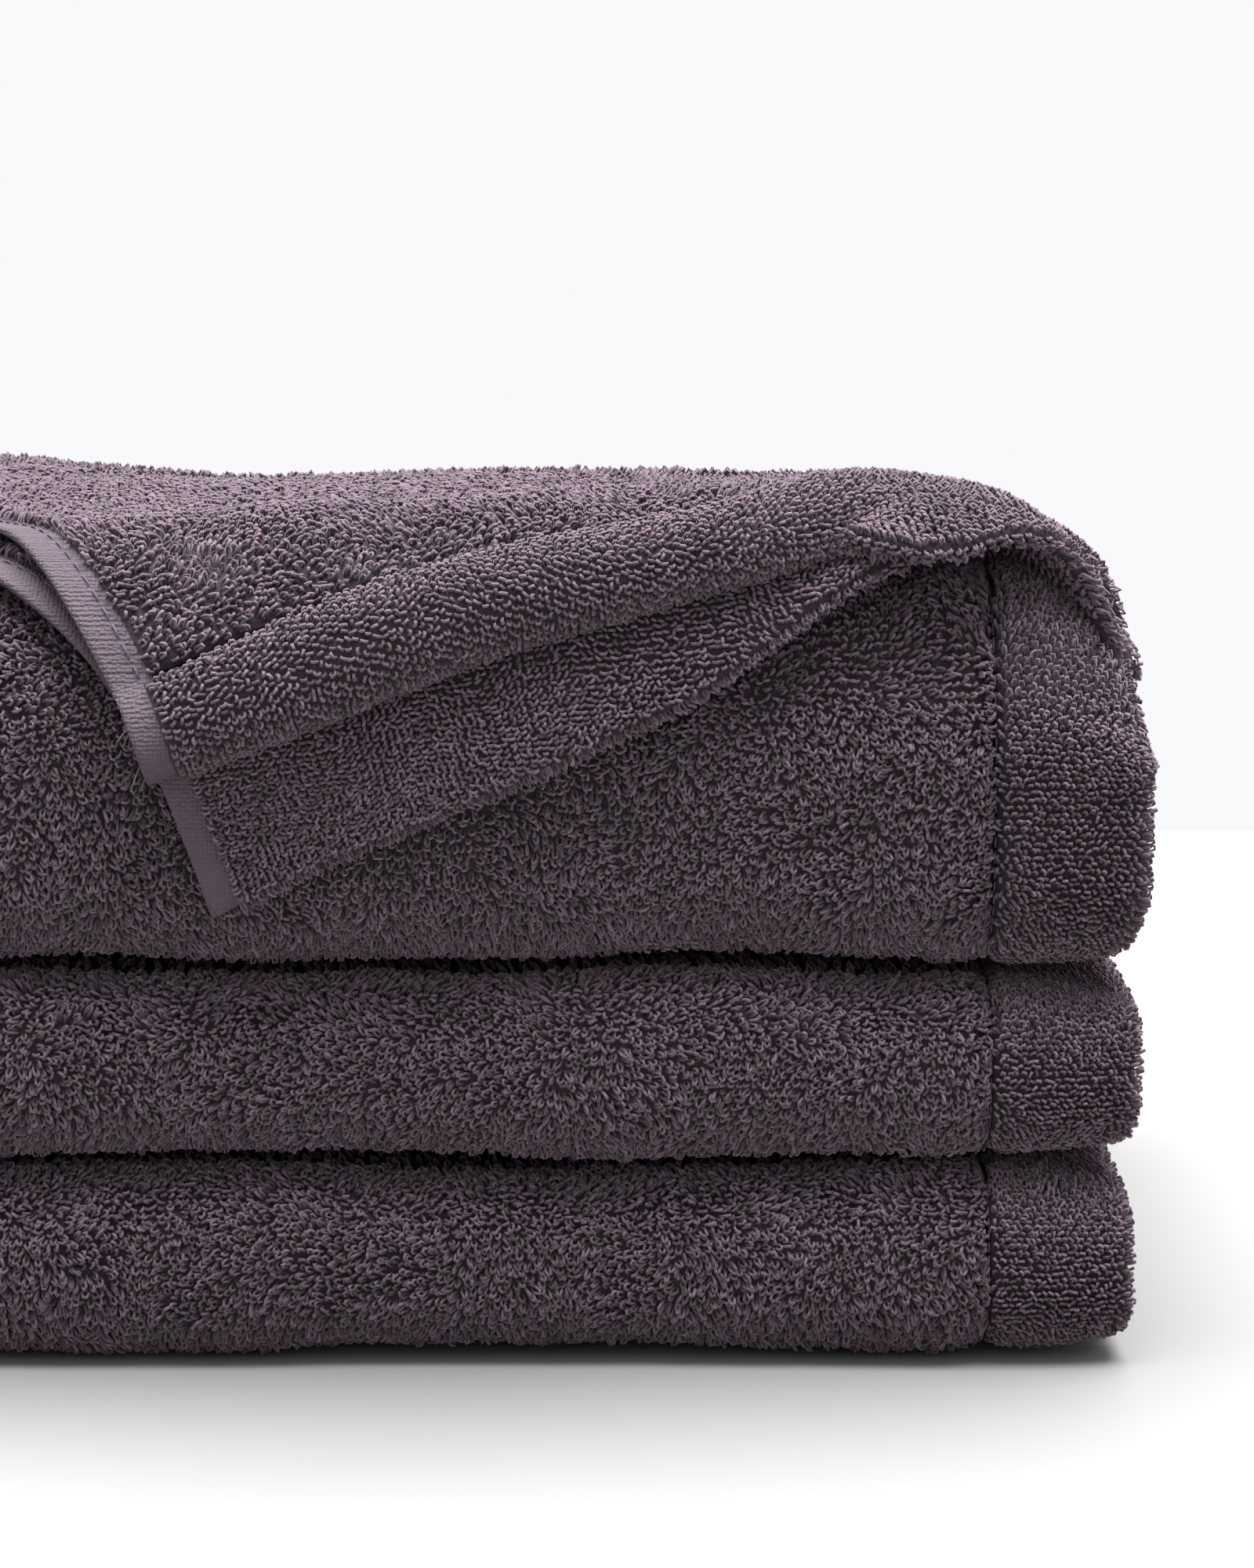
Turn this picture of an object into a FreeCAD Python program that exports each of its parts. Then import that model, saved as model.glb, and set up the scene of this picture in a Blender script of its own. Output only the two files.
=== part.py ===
import FreeCAD, Part
import math
import os

# Three folded terry bath towels in a stack, the corner of the top one turned forward.
# Millimetres. Origin: centre of the underside's bounding box, on the surface the stack stands on.
# +X is the side with the towels' end hems, -Y the front with the round folds, +Z up.

# --- driving dimensions -----------------------------------------------------------------------
LENGTH = 350.0              # folded towel, fold to end hems, along X
DEPTH = 236.0               # folded towel, front fold to back fold, along Y
BOTTOM_HEIGHT = 40.0
MIDDLE_HEIGHT = 39.2
TOP_HEIGHT = 76.2
TOWEL_GAP = 0.3             # between one towel and the next
FOLD_RADIUS = 16.0          # the round folds of the bottom and middle towels
TOP_FOLD_RADIUS = 22.0      # the top towel's lower front fold and its back fold
HEM_WIDTH = 32.0            # end hem, from the towel's end to its stitching
HEM_THICKNESS = 5.0         # one end hem, turned double
INNER_HEM_INSET = 2.0       # the inner end hem ends this far inside the outer one
HEM_OPEN_BACK = 30.0        # the end hems stop this far from the back fold
SEAM_WIDTH = 1.4            # the channel that the hem's stitching pulls in
THREAD_DEPTH = 0.8          # how far the stitching lies below the hem's surface
THREAD = 1.2                # thickness of a line of stitching
SIDE_HEM = 10.0             # flat woven side hem
SIDE_HEM_STACK = 13.0       # four side hems on each other
SIDE_HEM_INSET = 3.0        # outer side hems, from the back of the stack
INNER_FOLD_INSET = 14.0     # inner side hems, behind the front fold

# The turned corner: two layers of the top towel, folded forward along one straight crease.
LAYER = 5.2                 # one turned layer with its pile
LAYER_GAP = 0.3
CREASE_END_INSET = 33.0     # the crease's right end, behind the front fold
CREASE_END_X = 172.0
BACK_EDGE_INSET = 3.0       # the side hem's edge before it was turned, from the back
LOWER_HEM_SLOPE = math.radians(24.8)    # the lower layer's end hem, to the X axis
UPPER_HEM_SLOPE = math.radians(18.4)    # the upper layer's end hem, to the X axis
UPPER_HEM_LENGTH = 203.0
SHOULDER = 35.0             # radius of the top towel's front upper edge
SHOULDER_FACETS = 6
BODY_GAP = 0.4              # between the part of the corner on top and the part that hangs

RIGHT = LENGTH / 2
PROUD = 2 * (LAYER + LAYER_GAP)     # how far the hanging corner stands in front of the towel
FRONT = -(DEPTH - PROUD) / 2
BACK = (DEPTH + PROUD) / 2
SEAM_X = RIGHT - HEM_WIDTH
BOTTOM_Z = 0.0
MIDDLE_Z = BOTTOM_Z + BOTTOM_HEIGHT + TOWEL_GAP
TOP_Z = MIDDLE_Z + MIDDLE_HEIGHT + TOWEL_GAP
TOP_FACE = TOP_Z + TOP_HEIGHT
RECESS_Z = TOP_FACE - PROUD - BODY_GAP
SHOULDER_Y = FRONT + SHOULDER
SHOULDER_Z = TOP_FACE - SHOULDER

os.makedirs("parts", exist_ok=True)


def save(name, shape):
    shape.exportStep("parts/" + name + ".step")


# --- folded towels ----------------------------------------------------------------------------
def folded_outline(base, height, inset, radii):
    """Closed wire in the YZ plane: a folded towel seen from its end, drawn in by inset."""
    front = FRONT + inset
    back = BACK - inset
    low = base + inset
    high = base + height - inset
    lower, upper = [max(radius - inset, 0.5) for radius in radii]
    diagonal = math.sqrt(0.5)

    def corner(centre_y, centre_z, radius, side, rise):
        start = FreeCAD.Vector(0, centre_y + side * radius, centre_z)
        middle = FreeCAD.Vector(0, centre_y + side * radius * diagonal,
                                centre_z + rise * radius * diagonal)
        end = FreeCAD.Vector(0, centre_y, centre_z + rise * radius)
        return start, middle, end

    a0, a1, a2 = corner(front + lower, low + lower, lower, -1, -1)
    b0, b1, b2 = corner(back - lower, low + lower, lower, 1, -1)
    c0, c1, c2 = corner(back - lower, high - lower, lower, 1, 1)
    d0, d1, d2 = corner(front + upper, high - upper, upper, -1, 1)
    edges = [
        Part.Arc(a0, a1, a2).toShape(),
        Part.LineSegment(a2, b2).toShape(),
        Part.Arc(b2, b1, b0).toShape(),
        Part.LineSegment(b0, c0).toShape(),
        Part.Arc(c0, c1, c2).toShape(),
        Part.LineSegment(c2, d2).toShape(),
        Part.Arc(d2, d1, d0).toShape(),
        Part.LineSegment(d0, a0).toShape(),
    ]
    return Part.Wire(edges)


def folded_block(base, height, inset, radii, x_low, x_high):
    face = Part.Face(folded_outline(base, height, inset, radii))
    face.translate(FreeCAD.Vector(x_low, 0, 0))
    return face.extrude(FreeCAD.Vector(x_high - x_low, 0, 0))


def box(x_low, x_high, y_low, y_high, z_low, z_high):
    corner = FreeCAD.Vector(x_low, y_low, z_low)
    return Part.makeBox(x_high - x_low, y_high - y_low, z_high - z_low, corner)


def hem_band(base, height, radii, depth_out, depth_in, x_low, x_high):
    """A band that wraps the top, the front fold and the underside, open at the back."""
    outer = folded_block(base, height, depth_out, radii, x_low, x_high)
    inner = folded_block(base, height, depth_in, radii, x_low - 1, x_high + 1)
    open_back = box(x_low - 1, x_high + 1, BACK - HEM_OPEN_BACK, BACK + 1, base - 1, base + height + 1)
    return outer.cut(inner).cut(open_back)


def folded_towel(base, height, radii):
    """The pieces of one folded towel, by name."""
    both_hems = 2 * HEM_THICKNESS
    whole = folded_block(base, height, 0, radii, -RIGHT, RIGHT)
    top = base + height
    outer_band = hem_band(base, height, radii, 0, HEM_THICKNESS, SEAM_X + SEAM_WIDTH / 2, RIGHT)
    inner_band = hem_band(base, height, radii, HEM_THICKNESS, both_hems,
                          SEAM_X + SEAM_WIDTH / 2, RIGHT - INNER_HEM_INSET)
    hem_space = hem_band(base, height, radii, 0, both_hems, SEAM_X - SEAM_WIDTH / 2, RIGHT + 1)
    seam = hem_band(base, height, radii, THREAD_DEPTH, THREAD_DEPTH + THREAD,
                    SEAM_X - SEAM_WIDTH / 2, SEAM_X + SEAM_WIDTH / 2)
    side_y = BACK - SIDE_HEM_INSET - SIDE_HEM
    side_space = box(-RIGHT, RIGHT, side_y, BACK, top - SIDE_HEM_STACK, top)
    side_hem = box(-RIGHT, RIGHT, side_y, side_y + SIDE_HEM, top - SIDE_HEM_STACK, top)
    side_groove = box(-RIGHT, RIGHT, side_y + 1, side_y + 1 + THREAD, top - THREAD, top)
    middle = base + height / 2
    inner_y = FRONT + INNER_FOLD_INSET
    inner_side = box(-RIGHT, SEAM_X - SEAM_WIDTH, inner_y, inner_y + SIDE_HEM,
                     middle - SIDE_HEM_STACK / 2, middle + SIDE_HEM_STACK / 2)
    return {
        "body": whole.cut(hem_space).cut(side_space).cut(inner_side),
        "outer_end_hem": outer_band,
        "inner_end_hem": inner_band,
        "outer_side_hems": side_hem.cut(side_groove),
        "inner_side_hems": inner_side,
        "end_hem_stitching": seam,
        "side_hem_stitching": side_groove,
    }


# --- the turned corner ------------------------------------------------------------------------
# A layer is drawn flat in (x, s). s runs forward along the layer's middle: it is -y on top of
# the towel, follows the shoulder's arc, and then runs down the front.
def layer_profile(s, middle, level):
    """(y, z) of a point at a level above the towel's surface, in a layer whose middle is given."""
    folds = fold_lines(middle)
    step = math.pi / 2 / SHOULDER_FACETS
    reach = (SHOULDER + level) / math.cos(step / 2)

    def fold_point(i):
        turn = step * (i + 0.5)
        return SHOULDER_Y - reach * math.sin(turn), SHOULDER_Z + reach * math.cos(turn)

    if s < folds[0]:
        return -s, TOP_FACE + level
    if s > folds[-1]:
        return FRONT - level, fold_point(len(folds) - 1)[1] - (s - folds[-1])
    i = min(int((s - folds[0]) / (folds[1] - folds[0])), len(folds) - 2)
    share = (s - folds[i]) / (folds[i + 1] - folds[i])
    start, end = fold_point(i), fold_point(i + 1)
    return (start[0] + share * (end[0] - start[0]), start[1] + share * (end[1] - start[1]))


def fold_lines(middle):
    radius = SHOULDER + middle
    step = math.pi / 2 / SHOULDER_FACETS
    return [-SHOULDER_Y + radius * step * (i + 0.5) for i in range(SHOULDER_FACETS)]


def clip(polygon, inside, crossing):
    """The part of a flat polygon where inside(point) is positive."""
    kept = []
    for i, here in enumerate(polygon):
        after = polygon[(i + 1) % len(polygon)]
        if inside(here) >= 0:
            kept.append(here)
        if inside(here) * inside(after) < 0:
            kept.append(crossing(here, after))
    return kept


def clip_s(polygon, limit, forward):
    sign = 1 if forward else -1

    def inside(point):
        return sign * (point[1] - limit)

    def crossing(a, b):
        part = (limit - a[1]) / (b[1] - a[1])
        return (a[0] + part * (b[0] - a[0]), limit)

    return clip(polygon, inside, crossing)


def tidy_polygon(polygon):
    kept = []
    for point in polygon:
        if not kept or math.dist(point, kept[-1]) > 0.02:
            kept.append(point)
    if len(kept) > 1 and math.dist(kept[0], kept[-1]) < 0.02:
        kept.pop()
    return kept


def plate(strip, level_in, level_out, vertex):
    """One flat facet of a layer as a closed solid, from its polygon in (x, s)."""
    low = [vertex(x, s, level_in) for x, s in strip]
    high = [vertex(x, s, level_out) for x, s in strip]
    faces = []
    for ring in (low, high):
        for i in range(1, len(ring) - 1):
            faces.append(Part.Face(Part.makePolygon([ring[0], ring[i], ring[i + 1], ring[0]])))
    for i in range(len(low)):
        j = (i + 1) % len(low)
        faces.append(Part.Face(Part.makePolygon([low[i], low[j], high[j], low[i]])))
        faces.append(Part.Face(Part.makePolygon([low[i], high[j], high[i], low[i]])))
    shell = Part.makeShell(faces)
    shell.sewShape()
    solid = Part.makeSolid(shell)
    if solid.Volume < 0:
        solid.reverse()
    return solid


def wrapped(polygon, level_in, level_out, middle):
    """A layer's polygon in (x, s), wrapped over the shoulder, as one solid."""
    def vertex(x, s, level):
        y, z = layer_profile(s, middle, level)
        return FreeCAD.Vector(x, y, z)

    folds = fold_lines(middle)
    limits = [-1e6] + folds + [1e6]
    pieces = []
    for low, high in zip(limits, limits[1:]):
        strip = clip_s(clip_s(polygon, low, True), high, False)
        strip = tidy_polygon(strip)
        if len(strip) >= 3 and abs(area_of(strip)) > 0.05:
            pieces.append(plate(strip, level_in, level_out, vertex))
    if len(pieces) == 1:
        return pieces[0]
    return pieces[0].fuse(pieces[1:]).removeSplitter()


def area_of(polygon):
    total = 0.0
    for i, (x, s) in enumerate(polygon):
        x2, s2 = polygon[(i + 1) % len(polygon)]
        total += x * s2 - x2 * s
    return total / 2


def half_plane(polygon, origin, direction, low, high=None):
    """The part of a polygon whose distance from a line lies between low and high."""
    side = (-direction[1], direction[0])

    def distance(point):
        return (point[0] - origin[0]) * side[0] + (point[1] - origin[1]) * side[1]

    def crossing_at(limit):
        def crossing(a, b):
            part = (limit - distance(a)) / (distance(b) - distance(a))
            return (a[0] + part * (b[0] - a[0]), a[1] + part * (b[1] - a[1]))
        return crossing

    kept = clip(polygon, lambda point: distance(point) - low, crossing_at(low))
    if high is not None:
        kept = clip(kept, lambda point: high - distance(point), crossing_at(high))
    return kept


def turned_layer(crease_end, crease_way, corner, level_in, level_out):
    """Names and polygons of one turned layer: terry, end hem, side hem and two seams."""
    hem_length = math.dist(crease_end, corner)
    hem_way = ((corner[0] - crease_end[0]) / hem_length, (corner[1] - crease_end[1]) / hem_length)
    side_way = (-hem_way[1], hem_way[0])
    # where the side hem meets the crease
    cross = side_way[0] * crease_way[1] - side_way[1] * crease_way[0]
    gap_x, gap_s = crease_end[0] - corner[0], crease_end[1] - corner[1]
    reach = (gap_x * crease_way[1] - gap_s * crease_way[0]) / cross
    back = (corner[0] + reach * side_way[0], corner[1] + reach * side_way[1])
    triangle = [crease_end, corner, back]
    if area_of(triangle) < 0:
        triangle.reverse()
    # keep clear of the crease, which the layer turns about
    away = (-crease_way[0], -crease_way[1])
    triangle = half_plane(triangle, crease_end, away, BODY_GAP)
    seam = SEAM_WIDTH
    end_hem = half_plane(triangle, corner, hem_way, 0, HEM_WIDTH)
    inner = half_plane(triangle, corner, hem_way, HEM_WIDTH + seam)
    end_seam = half_plane(triangle, corner, hem_way, HEM_WIDTH, HEM_WIDTH + seam)
    side_hem = half_plane(inner, corner, side_way, 0, SIDE_HEM)
    side_seam = half_plane(inner, corner, side_way, SIDE_HEM, SIDE_HEM + seam)
    terry = half_plane(inner, corner, side_way, SIDE_HEM + seam)
    thread_in = level_out - THREAD_DEPTH - THREAD
    thread_out = level_out - THREAD_DEPTH
    return {
        "terry": (terry, level_in, level_out),
        "end_hem": (end_hem, level_in, level_out),
        "side_hem": (side_hem, level_in + 1, level_out - 1),
        "end_hem_stitching": (end_seam, thread_in, thread_out),
        "side_hem_stitching": (side_seam, thread_in, thread_out),
    }


def turned_corner():
    """The solids of the turned corner, by node name."""
    crease_end = (CREASE_END_X, -(FRONT + CREASE_END_INSET))
    lower_length = DEPTH - CREASE_END_INSET - BACK_EDGE_INSET
    # the turned end hem mirrors the straight end hem about the crease
    lower_way = (-math.cos(LOWER_HEM_SLOPE), math.sin(LOWER_HEM_SLOPE))
    upper_way = (-math.cos(UPPER_HEM_SLOPE), math.sin(UPPER_HEM_SLOPE))
    crease_way = crease_direction()
    lower_corner = (crease_end[0] + lower_length * lower_way[0],
                    crease_end[1] + lower_length * lower_way[1])
    upper_corner = (crease_end[0] + UPPER_HEM_LENGTH * upper_way[0],
                    crease_end[1] + UPPER_HEM_LENGTH * upper_way[1])
    lower_in = LAYER_GAP
    upper_in = LAYER_GAP + LAYER + LAYER_GAP
    layers = {
        "lower": (lower_corner, lower_in),
        "upper": (upper_corner, upper_in),
    }
    solids = {}
    for layer, (corner, level_in) in layers.items():
        level_out = level_in + LAYER
        middle = (level_in + level_out) / 2
        middle_fold = -SHOULDER_Y + (SHOULDER + middle) * math.pi / 4
        pieces = turned_layer(crease_end, crease_way, corner, level_in, level_out)
        for piece, (polygon, low, high) in pieces.items():
            resting = clip_s(polygon, middle_fold - BODY_GAP / 2, False)
            hanging = clip_s(polygon, middle_fold + BODY_GAP / 2, True)
            for part, outline in (("flap", resting), ("corner", hanging)):
                if len(outline) >= 3 and abs(area_of(outline)) > 1.0:
                    solids[part + "_" + layer + "_" + piece] = wrapped(outline, low, high, middle)
    return solids


def crease_direction():
    """Unit direction of the crease in (x, s), from its right end to the back edge."""
    turned = (-math.cos(LOWER_HEM_SLOPE), math.sin(LOWER_HEM_SLOPE))
    straight = (0.0, -1.0)
    both = (turned[0] + straight[0], turned[1] + straight[1])
    length = math.hypot(*both)
    return both[0] / length, both[1] / length


def corner_recess():
    """The space behind the crease, where the two turned layers lay before."""
    way_x, way_s = crease_direction()
    end_x, end_y = CREASE_END_X, FRONT + CREASE_END_INSET
    way_y = -way_s
    far = 600.0
    front_right = FreeCAD.Vector(end_x - 60 * way_x, end_y - 60 * way_y, RECESS_Z)
    back_left = FreeCAD.Vector(end_x + far * way_x, end_y + far * way_y, RECESS_Z)
    back_right = FreeCAD.Vector(far, far, RECESS_Z)
    outline = Part.makePolygon([front_right, back_left, back_right, front_right])
    return Part.Face(outline).extrude(FreeCAD.Vector(0, 0, 100))


# --- assembly ---------------------------------------------------------------------------------
towels = {
    "bottom_towel": (BOTTOM_Z, BOTTOM_HEIGHT, (FOLD_RADIUS, FOLD_RADIUS)),
    "middle_towel": (MIDDLE_Z, MIDDLE_HEIGHT, (FOLD_RADIUS, FOLD_RADIUS)),
    "top_towel": (TOP_Z, TOP_HEIGHT, (TOP_FOLD_RADIUS, SHOULDER)),
}
recess = corner_recess()
for towel, (base, height, radii) in towels.items():
    for piece, shape in folded_towel(base, height, radii).items():
        if towel == "top_towel":
            shape = shape.cut(recess)
        save(towel + "_" + piece, shape)

for node, shape in turned_corner().items():
    save(node, shape)
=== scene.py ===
import bpy
import math
import numpy as np
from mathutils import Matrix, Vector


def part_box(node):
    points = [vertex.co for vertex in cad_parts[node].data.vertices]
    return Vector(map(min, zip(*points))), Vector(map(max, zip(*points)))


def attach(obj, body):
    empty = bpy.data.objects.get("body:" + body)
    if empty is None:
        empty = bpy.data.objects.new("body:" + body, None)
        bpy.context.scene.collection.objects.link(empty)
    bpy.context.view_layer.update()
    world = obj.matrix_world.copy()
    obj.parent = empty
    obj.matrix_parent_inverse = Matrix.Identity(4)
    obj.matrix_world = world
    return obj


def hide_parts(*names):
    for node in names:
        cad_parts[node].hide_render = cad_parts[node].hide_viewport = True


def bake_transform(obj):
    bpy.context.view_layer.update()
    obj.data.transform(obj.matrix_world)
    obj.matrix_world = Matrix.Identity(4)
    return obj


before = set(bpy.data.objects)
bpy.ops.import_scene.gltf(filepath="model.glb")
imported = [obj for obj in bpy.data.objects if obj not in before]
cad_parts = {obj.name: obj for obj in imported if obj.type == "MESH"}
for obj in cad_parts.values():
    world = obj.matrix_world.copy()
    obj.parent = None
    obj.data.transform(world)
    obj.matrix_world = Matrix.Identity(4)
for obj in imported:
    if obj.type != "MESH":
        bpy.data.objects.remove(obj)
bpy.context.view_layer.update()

MM = 0.001
RNG_SEED = 7
PILE = 2.4 * MM             # height of the loops above the ground cloth

# --- places worked out from the frame ----------------------------------------------------------
body_low, body_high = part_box("top_towel_body")
BACK = body_high[1]
FRONT = body_low[1]
LEFT = body_low[0]
RIGHT = -LEFT
HEM_WIDTH = 32 * MM
SEAM_X = RIGHT - HEM_WIDTH
EDGE_Y = BACK - 3 * MM
TOP_FACE = body_high[2]
CREST_RISE = 7 * MM         # the top towel's swell towards the crease's right end
END_WIDTH = 38 * MM         # the width over which its right end slopes down
END_DROP = 36 * MM


def smooth(a, b, x):
    """0 at a, 1 at b, with a soft start and end."""
    t = np.clip((x - a) / (b - a), 0, 1)
    return t * t * (3 - 2 * t)


def bump(x, centre, width):
    """A round hill of height 1."""
    return np.exp(-((x - centre) / width) ** 2)


def raised(x, y, z):
    """The top towel swells up towards the crease's right end and slopes down beyond it."""
    rise = CREST_RISE * smooth(-0.06, 0.12, x) * smooth(0.06, -0.05, y)
    beyond = np.clip((x - (RIGHT - 37 * MM)) / END_WIDTH, 0, 0.97)
    drop = END_DROP * (1 - np.sqrt(1 - beyond ** 2)) * smooth(TOP_FACE - 40 * MM, TOP_FACE, z)
    return z + rise * smooth(TOP_FACE - 22 * MM, TOP_FACE - 3 * MM, z) - drop


# --- folded towel --------------------------------------------------------------------------------
def arc(centre, radius, start, end, step=1 * MM):
    count = max(int(abs(radius * math.radians(end - start)) / step), 3)
    angle = np.radians(np.linspace(start, end, count))
    return np.stack([centre[0] + radius * np.cos(angle), centre[1] + radius * np.sin(angle)], 1)


def line(a, b, step=1 * MM):
    count = max(int(math.dist(a, b) / step), 2)
    t = np.linspace(0, 1, count)[:, None]
    return np.array(a) * (1 - t) + np.array(b) * t


class Track:
    """A smooth path in a plane, read by arc length, with its normal on the left-hand side."""

    def __init__(self, pieces, softness):
        points = np.concatenate(pieces)
        keep = np.r_[True, np.linalg.norm(np.diff(points, axis=0), axis=1) > 1e-7]
        points = points[keep]
        gaps = np.linalg.norm(np.diff(points, axis=0), axis=1)
        along = np.r_[0, np.cumsum(gaps)]
        even = np.arange(0, along[-1], 0.5 * MM)
        points = np.stack([np.interp(even, along, points[:, i]) for i in (0, 1)], 1)
        reach = int(softness / (0.5 * MM))
        if reach > 0:
            kernel = np.hanning(2 * reach + 3)[1:-1]
            kernel /= kernel.sum()
            first = 2 * points[0] - points[1:reach + 1][::-1]
            last = 2 * points[-1] - points[-reach - 1:-1][::-1]
            padded = np.concatenate([first, points, last])
            points = np.stack([np.convolve(padded[:, i], kernel, "valid") for i in (0, 1)], 1)
        gaps = np.linalg.norm(np.diff(points, axis=0), axis=1)
        self.along = np.r_[0, np.cumsum(gaps)]
        self.points = points
        way = np.gradient(points, axis=0)
        way /= np.linalg.norm(way, axis=1)[:, None]
        self.normals = np.stack([-way[:, 1], way[:, 0]], 1)
        self.length = self.along[-1]

    def at(self, s):
        """The point and the normal at s along the path."""
        p = [np.interp(s, self.along, self.points[:, i]) for i in (0, 1)]
        n = [np.interp(s, self.along, self.normals[:, i]) for i in (0, 1)]
        return p[0], p[1], n[0], n[1]


class Towel:
    """One towel folded to four layers along X and then in three across its width.

    u runs along the four layers, s round the fold in three, d is the depth below the outside.
    """

    def __init__(self, name, upper_radius, lower_radius, cloth, phase, short, sunk=False):
        self.short = short
        low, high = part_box(name + "_body")
        self.name = name
        self.low = low[2]
        self.height = high[2] - low[2]
        self.cloth = cloth
        self.phase = phase
        third = self.height / 3
        self.first_layer = PILE + cloth / 2
        self.layer_step = (third - self.first_layer - cloth / 2) / 3
        top, bottom = high[2], low[2]
        # the outside of the fold in the YZ plane, from the outer side hem forward
        back_fold = third * 0.98
        inner_end = FRONT + 0.030
        self.top_run = EDGE_Y - (FRONT + upper_radius)
        quarter = math.pi / 2
        self.front_end = (self.top_run + quarter * upper_radius + self.height - upper_radius - lower_radius
                          + quarter * lower_radius)
        self.back_start = self.front_end + BACK - back_fold - FRONT - lower_radius
        self.back_end = self.back_start + math.pi * back_fold
        self.wrap = Track([
            line((EDGE_Y, top), (FRONT + upper_radius, top)),
            arc((FRONT + upper_radius, top - upper_radius), upper_radius, 90, 180),
            line((FRONT, top - upper_radius), (FRONT, bottom + lower_radius)),
            arc((FRONT + lower_radius, bottom + lower_radius), lower_radius, 180, 270),
            line((FRONT + lower_radius, bottom), (BACK - back_fold, bottom)),
            arc((BACK - back_fold, bottom + back_fold), back_fold, -90, 90),
            line((BACK - back_fold, bottom + 2 * back_fold), (inner_end, bottom + 2 * back_fold)),
        ], 5 * MM)
        d = [self.first_layer + i * self.layer_step for i in range(4)]
        if sunk:
            d = [self.first_layer, self.first_layer + 6 * MM, third - 6.8 * MM, third - 1.6 * MM]
        big = (d[3] - d[0]) / 2
        small = (d[2] - d[1]) / 2
        fold_x = LEFT + big + cloth / 2 + PILE
        right_fold = RIGHT - 5 * MM - small
        middle = (d[0] + d[3]) / 2
        # the four layers in the plane of X and depth, from the outer end hem
        self.layers = Track([
            line((SEAM_X - 0.5 * MM, d[0]), (fold_x, d[0])),
            arc((fold_x, middle), big, 270, 90),
            line((fold_x, d[3]), (right_fold, d[3])),
            arc((right_fold, (d[2] + d[3]) / 2), small, 90, -90),
            line((right_fold, d[2]), (fold_x, d[2])),
            arc((fold_x, middle), small, 90, 270),
            line((fold_x, d[1]), (SEAM_X - 0.5 * MM, d[1])),
        ], 0)
        self.depths = d
        self.run = SEAM_X - 0.5 * MM - fold_x
        self.big_turn = math.pi * big
        self.hem_thickness = min(1.06 * self.layer_step, 4.6 * MM)

    def on_ply(self, u, s, height):
        """A point at u along the plies, at a height above their outer side."""
        x, d, nx, nd = self.layers.at(u)
        off = self.cloth / 2 + height
        return self.place(x + nx * off, d + nd * off, s)

    def hem_profile(self, ply):
        """The outside of an end hem in X and depth, from its stitching round its end and back."""
        reach = RIGHT - (1.5 if ply == 0 else 3.5) * MM
        half = self.hem_thickness / 2
        depth = self.depths[ply]
        x = np.linspace(SEAM_X + 0.5 * MM, reach, 400)
        end = np.clip((x - (reach - half)) / half, 0, 1)
        start = np.clip((SEAM_X + 3 * MM - x) / (2.5 * MM), 0, 1)
        thick = half * np.sqrt(1 - end ** 2) * (1 - 0.45 * start ** 2)
        upper = np.stack([x, depth - thick], 1)
        lower = np.stack([x[::-1], depth + thick[::-1]], 1)
        return Track([upper, lower], 0)

    def swell(self, x, s):
        """How far the outer surface stands from the plain fold: seam, end and soft unevenness."""
        seam = -1.8 * MM * bump(x, SEAM_X, 2.2 * MM) + 0.9 * MM * bump(x, SEAM_X - 8 * MM, 6 * MM)
        waves = (0.8 * MM * np.sin(x * 46 + self.phase + 9 * s)
                 + 0.6 * MM * np.sin(x * 23 - 17 * s + 2 * self.phase)
                 + 0.35 * MM * np.sin(x * 95 + 31 * s + 3 * self.phase))
        end = -3.2 * MM * smooth(RIGHT - 34 * MM, RIGHT + 6 * MM, x) ** 2
        left_end = -3.0 * MM * smooth(LEFT + 26 * MM, LEFT - 4 * MM, x) ** 2
        return seam + waves - 0.9 * MM + end + left_end

    def place(self, x, d, s):
        """A point at x, at a depth below the outside, at s round the fold."""
        y, z, ny, nz = self.wrap.at(s)
        out = self.swell(x, s) * np.exp(-np.maximum(d, 0) / (14 * MM)) - d
        y = y - ny * out
        z = z - nz * out
        z = np.maximum(z, self.low + 0.1 * MM)
        middle = self.low + self.height / 2
        share = (z - middle) / (self.height / 2)
        x = x - (5.5 * MM * share ** 4 + self.short) * smooth(RIGHT - 40 * MM, RIGHT, x)
        x = x + 2.5 * MM * share ** 2 * smooth(LEFT + 30 * MM, LEFT, x)
        if self.name == "top_towel":
            z = raised(x, y, z)
        return np.stack([x, y, z], -1)


def make_mesh(name, vertices, faces, material):
    """A piece of the scene, with one material or a list of them."""
    mesh = bpy.data.meshes.new(name)
    vertices = np.asarray(vertices, np.float32).reshape(-1, 3)
    faces = np.asarray(faces, np.int32)
    sides = faces.shape[1]
    mesh.vertices.add(len(vertices))
    mesh.vertices.foreach_set("co", vertices.ravel())
    mesh.loops.add(faces.size)
    mesh.loops.foreach_set("vertex_index", faces.ravel())
    mesh.polygons.add(len(faces))
    mesh.polygons.foreach_set("loop_start", np.arange(0, faces.size, sides, dtype=np.int32))
    mesh.polygons.foreach_set("loop_total", np.full(len(faces), sides, np.int32))
    mesh.polygons.foreach_set("use_smooth", np.full(len(faces), True))
    mesh.update(calc_edges=True)
    for each in material if isinstance(material, (list, tuple)) else [material]:
        mesh.materials.append(each)
    piece = bpy.data.objects.new(name, mesh)
    bpy.context.collection.objects.link(piece)
    return piece


def grid_faces(rows, columns):
    a = (np.arange(rows - 1)[:, None] * columns + np.arange(columns - 1)[None, :]).ravel()
    return np.stack([a, a + 1, a + columns + 1, a + columns], 1)


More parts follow.
